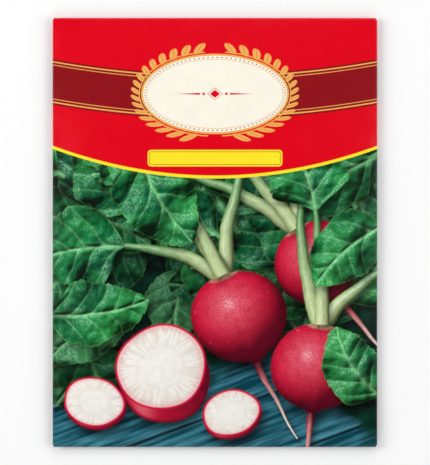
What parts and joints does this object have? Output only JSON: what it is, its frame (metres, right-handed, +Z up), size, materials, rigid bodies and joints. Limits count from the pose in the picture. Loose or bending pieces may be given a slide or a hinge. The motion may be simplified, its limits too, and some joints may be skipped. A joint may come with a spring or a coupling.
{
  "type": "seed packet",
  "caption": "Flat rectangular paper seed packet, folded from one sheet and glued shut with a side seam and end flaps, with a low pillowed front and seed inside.",
  "frame": {"origin": "on the resting surface, under the middle of the packet", "axes": "+Z up out of the printed front, +Y towards the packet's top edge, +X to the right as the front is read"},
  "size_m": [0.121, 0.1598, 0.007],
  "materials": {
    "coated_paper": "glossy coated paper, printed red with a picture panel, white inside",
    "dried_gum": "thin dried gum, pale amber",
    "seed_coat": "dry reddish brown seed coat"
  },
  "bodies": {
    "root": {"packet_sheet": "coated_paper", "side_seam_glue": "dried_gum", "bottom_flap_glue": "dried_gum", "top_flap_glue": "dried_gum", "radish_seed": "seed_coat"}
  },
  "joints": []
}
